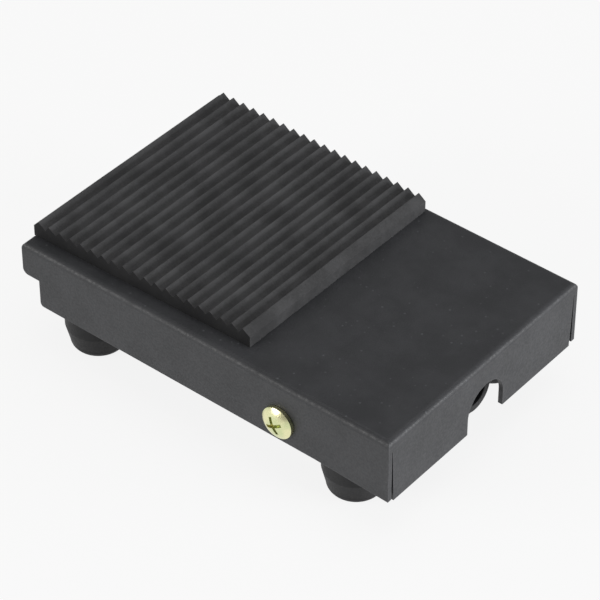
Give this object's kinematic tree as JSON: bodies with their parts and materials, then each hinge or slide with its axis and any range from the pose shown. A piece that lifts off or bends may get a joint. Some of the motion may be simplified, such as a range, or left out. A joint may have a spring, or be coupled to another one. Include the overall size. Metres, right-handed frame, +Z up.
{
  "type": "industrial foot switch",
  "caption": "Low foot switch: a folded black steel treadle with a ribbed rubber tread pad rocks on side screws over a sprung base with rubber feet.",
  "frame": {"origin": "on the floor under the middle of the switch", "axes": "+X towards the heel, where the cable enters; +Y to the right of a foot that points to -X; +Z up"},
  "size_m": [0.104, 0.072, 0.0322],
  "materials": {
    "treadle_coat": "black textured powder coat on folded sheet steel",
    "pad_rubber": "moulded black rubber with sharp saw-tooth ridges",
    "base_coat": "black powder coat on folded sheet steel",
    "yellow_zinc": "steel plated with yellow passivated zinc",
    "bush_brass": "turned brass",
    "foot_rubber": "moulded black rubber",
    "zinc_steel": "bright zinc-plated steel",
    "spring_steel": "drawn spring wire",
    "guide_nylon": "moulded natural nylon",
    "case_plastic": "moulded thermoset, dark grey",
    "plunger_plastic": "moulded red plastic",
    "contact_brass": "stamped brass",
    "blade_copper": "stamped beryllium copper",
    "grommet_rubber": "moulded black rubber"
  },
  "bodies": {
    "base": {"base_plate": "base_coat", "pivot_screw_left": "yellow_zinc", "pivot_screw_right": "yellow_zinc", "pivot_bush_left": "bush_brass", "pivot_bush_right": "bush_brass", "pivot_nut_left": "yellow_zinc", "pivot_nut_right": "yellow_zinc", "rubber_foot_toe_left": "foot_rubber", "rubber_foot_toe_right": "foot_rubber", "rubber_foot_heel_left": "foot_rubber", "rubber_foot_heel_right": "foot_rubber", "foot_washers": "zinc_steel", "foot_screws": "zinc_steel", "foot_nuts": "zinc_steel", "return_spring_left": "spring_steel", "return_spring_right": "spring_steel", "spring_guide_left": "guide_nylon", "spring_guide_right": "guide_nylon", "switch_case": "case_plastic", "switch_cover": "case_plastic", "lever_pin": "zinc_steel", "common_terminal": "contact_brass", "normally_open_terminal": "contact_brass", "normally_closed_terminal": "contact_brass", "switch_bracket": "zinc_steel", "bracket_rivets": "zinc_steel", "switch_screws": "zinc_steel", "switch_nuts": "zinc_steel", "cable_grommet": "grommet_rubber"},
    "treadle": {"pedal_cover": "treadle_coat", "tread_pad": "pad_rubber", "spring_cup_left": "zinc_steel", "spring_cup_right": "zinc_steel"},
    "lever": {"switch_lever": "zinc_steel"},
    "plunger": {"switch_plunger": "plunger_plastic"},
    "blade": {"snap_blade": "blade_copper"}
  },
  "joints": [
    {"name": "pedal_hinge", "type": "hinge", "parent": "base", "child": "treadle", "pos_m": [0.0225, 0, 0.0174], "axis": [0, -1, 0], "range_deg": [0, 3.2], "stiffness_Nm_per_rad": 8, "springref_deg": -3.44, "deforming": ["return_spring_left", "return_spring_right"]},
    {"name": "lever_hinge", "type": "hinge", "parent": "base", "child": "lever", "pos_m": [0.007, -0.0004, 0.02475], "axis": [0, -1, 0], "range_deg": [0, 6.3]},
    {"name": "plunger_slide", "type": "slide", "parent": "base", "child": "plunger", "axis": [0, 0, -1], "range_m": [0, 0.00056]},
    {"name": "blade_hinge", "type": "hinge", "parent": "base", "child": "blade", "pos_m": [-0.0084, 0, 0.0207], "axis": [0, 1, 0], "range_deg": [0, 3.35]}
  ],
  "couplings": [
    {"joint": "lever_hinge", "follows": "pedal_hinge", "ratio": 1.95},
    {"joint": "plunger_slide", "follows": "pedal_hinge", "m_per_rad": 0.00967},
    {"joint": "blade_hinge", "follows": "pedal_hinge", "ratio": 1.03}
  ]
}
